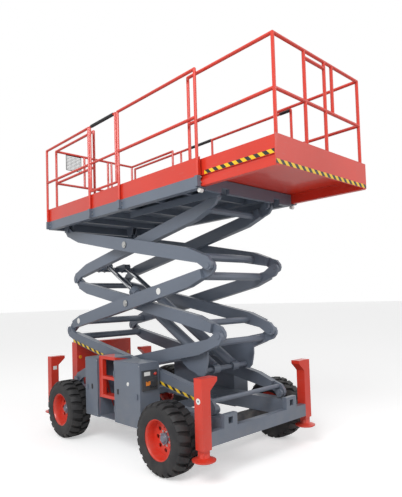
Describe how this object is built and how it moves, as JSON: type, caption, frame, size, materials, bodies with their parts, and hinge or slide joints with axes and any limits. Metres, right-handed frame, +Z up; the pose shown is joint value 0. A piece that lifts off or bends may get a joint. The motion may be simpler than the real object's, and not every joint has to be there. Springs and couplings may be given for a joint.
{
  "type": "rough terrain scissor lift",
  "caption": "Four-wheel rough-terrain scissor lift with outriggers, folding arm stack, lift cylinders and a railed platform with a roll-out extension.",
  "frame": {"origin": "on the ground under the middle of the machine's bounding box", "axes": "+X to the front, where the deck extension rolls out; +Y to the left; +Z up"},
  "size_m": [4.642, 2.24, 4.417],
  "materials": {
    "red_paint": "semi-gloss orange-red enamel",
    "grey_paint": "semi-gloss blue-grey enamel",
    "dark_paint": "satin charcoal paint",
    "chrome_rod": "polished",
    "tyre": "matt rubber"
  },
  "bodies": {
    "chassis": {"chassis_frame": "grey_paint", "axle_front": "dark_paint", "axle_rear": "dark_paint", "outrigger_front_right": "red_paint", "outrigger_front_left": "red_paint", "outrigger_rear_right": "red_paint", "outrigger_rear_left": "red_paint", "cabinet_right_rear": "grey_paint", "cabinet_right_front": "grey_paint", "cabinet_left": "grey_paint", "step_ladder": "red_paint", "rear_cover": "red_paint", "ground_panel": "dark_paint", "engine_block": "dark_paint"},
    "steering_knuckle_right": {"knuckle_right": "dark_paint"},
    "steering_knuckle_left": {"knuckle_left": "dark_paint"},
    "door_right_rear": {"door_right_rear": "grey_paint"},
    "door_right_front": {"door_right_front": "grey_paint"},
    "door_left": {"door_left": "grey_paint"},
    "arms_B1": {"scissor_B1": "grey_paint"},
    "arms_A1": {"scissor_A1": "grey_paint"},
    "arms_A2": {"scissor_A2": "grey_paint"},
    "arms_B2": {"scissor_B2": "grey_paint"},
    "arms_A3": {"scissor_A3": "grey_paint"},
    "arms_B3": {"scissor_B3": "grey_paint"},
    "cylinder_barrels": {"lift_barrel_right": "grey_paint", "lift_barrel_left": "grey_paint"},
    "cylinder_rods": {"lift_rod_right": "chrome_rod", "lift_rod_left": "chrome_rod"},
    "platform": {"deck_frame": "grey_paint", "toe_boards": "red_paint", "rail_right_rear": "red_paint", "rail_right_front": "red_paint", "rail_left": "red_paint", "rail_rear": "red_paint"},
    "gate": {"gate": "red_paint"},
    "extension": {"extension_deck": "red_paint", "extension_rails": "red_paint"},
    "wheel_front_right": {"rim_front_right": "red_paint", "tyre_front_right": "tyre"},
    "wheel_front_left": {"rim_front_left": "red_paint", "tyre_front_left": "tyre"},
    "wheel_rear_right": {"rim_rear_right": "red_paint", "tyre_rear_right": "tyre"},
    "wheel_rear_left": {"rim_rear_left": "red_paint", "tyre_rear_left": "tyre"},
    "leg_front_right": {"outrigger_leg_front_right": "red_paint"},
    "leg_front_left": {"outrigger_leg_front_left": "red_paint"},
    "leg_rear_right": {"outrigger_leg_rear_right": "red_paint"},
    "leg_rear_left": {"outrigger_leg_rear_left": "red_paint"}
  },
  "joints": [
    {"name": "steer_right", "type": "hinge", "parent": "chassis", "child": "steering_knuckle_right", "pos_m": [0.792, -0.9, 0.404], "axis": [0, 0, 1], "range_deg": [-8.5, 8.5]},
    {"name": "steer_left", "type": "hinge", "parent": "chassis", "child": "steering_knuckle_left", "pos_m": [0.792, 0.9, 0.404], "axis": [0, 0, 1], "range_deg": [-8.5, 8.5]},
    {"name": "roll_front_right", "type": "hinge", "parent": "steering_knuckle_right", "child": "wheel_front_right", "pos_m": [0.792, -0.97, 0.404], "axis": [0, 1, 0], "continuous": true},
    {"name": "roll_front_left", "type": "hinge", "parent": "steering_knuckle_left", "child": "wheel_front_left", "pos_m": [0.792, 0.97, 0.404], "axis": [0, 1, 0], "continuous": true},
    {"name": "roll_rear_right", "type": "hinge", "parent": "chassis", "child": "wheel_rear_right", "pos_m": [-1.454, -0.97, 0.404], "axis": [0, 1, 0], "continuous": true},
    {"name": "roll_rear_left", "type": "hinge", "parent": "chassis", "child": "wheel_rear_left", "pos_m": [-1.454, 0.97, 0.404], "axis": [0, 1, 0], "continuous": true},
    {"name": "extend_leg_front_right", "type": "slide", "parent": "chassis", "child": "leg_front_right", "axis": [0, 0, -1], "range_m": [0, 0.26]},
    {"name": "extend_leg_front_left", "type": "slide", "parent": "chassis", "child": "leg_front_left", "axis": [0, 0, -1], "range_m": [0, 0.26]},
    {"name": "extend_leg_rear_right", "type": "slide", "parent": "chassis", "child": "leg_rear_right", "axis": [0, 0, -1], "range_m": [0, 0.26]},
    {"name": "extend_leg_rear_left", "type": "slide", "parent": "chassis", "child": "leg_rear_left", "axis": [0, 0, -1], "range_m": [0, 0.26]},
    {"name": "open_door_right_rear", "type": "hinge", "parent": "chassis", "child": "door_right_rear", "pos_m": [-0.686, -0.952, 0.78], "axis": [0, 0, 1], "range_deg": [0, 100]},
    {"name": "open_door_right_front", "type": "hinge", "parent": "chassis", "child": "door_right_front", "pos_m": [-0.281, -0.952, 0.78], "axis": [0, 0, -1], "range_deg": [0, 100]},
    {"name": "open_door_left", "type": "hinge", "parent": "chassis", "child": "door_left", "pos_m": [-0.991, 0.952, 0.78], "axis": [0, 0, 1], "range_deg": [0, 90]},
    {"name": "lift", "type": "hinge", "parent": "chassis", "child": "arms_B1", "pos_m": [-2.039, 0, 0.7], "axis": [0, -1, 0], "range_deg": [-7.9, 41.1]},
    {"name": "fold_A1", "type": "hinge", "parent": "arms_B1", "child": "arms_A1", "pos_m": [-0.434, 0, 1.09835], "axis": [0, 1, 0], "range_deg": [-15.8, 82.2]},
    {"name": "fold_A2", "type": "hinge", "parent": "arms_A1", "child": "arms_A2", "pos_m": [-2.039, 0, 1.4967], "axis": [0, -1, 0], "range_deg": [-15.8, 82.2]},
    {"name": "fold_B2", "type": "hinge", "parent": "arms_A2", "child": "arms_B2", "pos_m": [-0.434, 0, 1.89505], "axis": [0, 1, 0], "range_deg": [-15.8, 82.2]},
    {"name": "fold_A3", "type": "hinge", "parent": "arms_A2", "child": "arms_A3", "pos_m": [1.171, 0, 2.2934], "axis": [0, 1, 0], "range_deg": [-15.8, 82.2]},
    {"name": "fold_B3", "type": "hinge", "parent": "arms_A3", "child": "arms_B3", "pos_m": [-0.434, 0, 2.69175], "axis": [0, -1, 0], "range_deg": [-15.8, 82.2]},
    {"name": "level_platform", "type": "hinge", "parent": "arms_A3", "child": "platform", "pos_m": [-2.039, 0, 3.0901], "axis": [0, -1, 0], "range_deg": [-7.9, 41.1]},
    {"name": "cylinder_tilt", "type": "hinge", "parent": "arms_B1", "child": "cylinder_barrels", "pos_m": [0.769, 0, 1.06], "axis": [0, 1, 0], "range_deg": [-15.21, 78.29]},
    {"name": "cylinder_stroke", "type": "slide", "parent": "cylinder_barrels", "child": "cylinder_rods", "axis": [-0.8552, 0, 0.5182], "range_m": [-0.258, 1.33]},
    {"name": "open_gate", "type": "hinge", "parent": "platform", "child": "gate", "pos_m": [-0.246, -0.87, 3.48], "axis": [0, 0, -1], "range_deg": [0, 90]},
    {"name": "extend_deck", "type": "slide", "parent": "platform", "child": "extension", "axis": [1, 0, 0], "range_m": [-0.93, 0.19]}
  ],
  "couplings": [
    {"joint": "steer_left", "follows": "steer_right", "ratio": 1},
    {"joint": "fold_A1", "follows": "lift", "ratio": 2},
    {"joint": "fold_A2", "follows": "lift", "ratio": 2},
    {"joint": "fold_B2", "follows": "lift", "ratio": 2},
    {"joint": "fold_A3", "follows": "lift", "ratio": 2},
    {"joint": "fold_B3", "follows": "lift", "ratio": 2},
    {"joint": "level_platform", "follows": "lift", "ratio": 1},
    {"joint": "cylinder_tilt", "follows": "lift", "ratio": 1.9},
    {"joint": "cylinder_stroke", "follows": "lift", "m_per_rad": 1.85}
  ]
}
